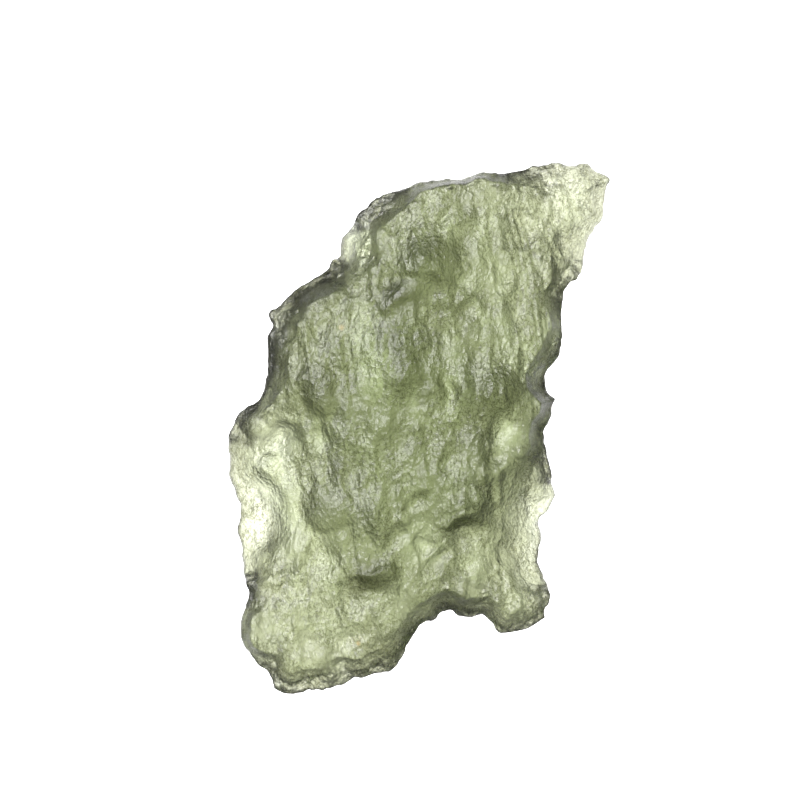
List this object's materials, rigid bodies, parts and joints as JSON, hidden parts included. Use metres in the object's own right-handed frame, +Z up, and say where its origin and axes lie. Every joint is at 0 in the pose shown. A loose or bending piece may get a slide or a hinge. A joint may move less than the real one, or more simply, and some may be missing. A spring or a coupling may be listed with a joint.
{
  "type": "moldavite",
  "caption": "Raw natural glass stone: a flat green see-through splinter with pitted faces, broken edges and a bite out of its foot, lying on a flat spot.",
  "frame": {"origin": "middle of the outline's box, at the level of the flat spot the stone lies on", "axes": "+Y along the length towards the narrow tip, +X across, +Z up out of the broad pitted face"},
  "size_m": [0.0259, 0.0359, 0.0074],
  "materials": {
    "green_glass": "clear olive green natural glass with an etched, satin skin"
  },
  "bodies": {
    "root": {"moldavite": "green_glass"}
  },
  "joints": []
}
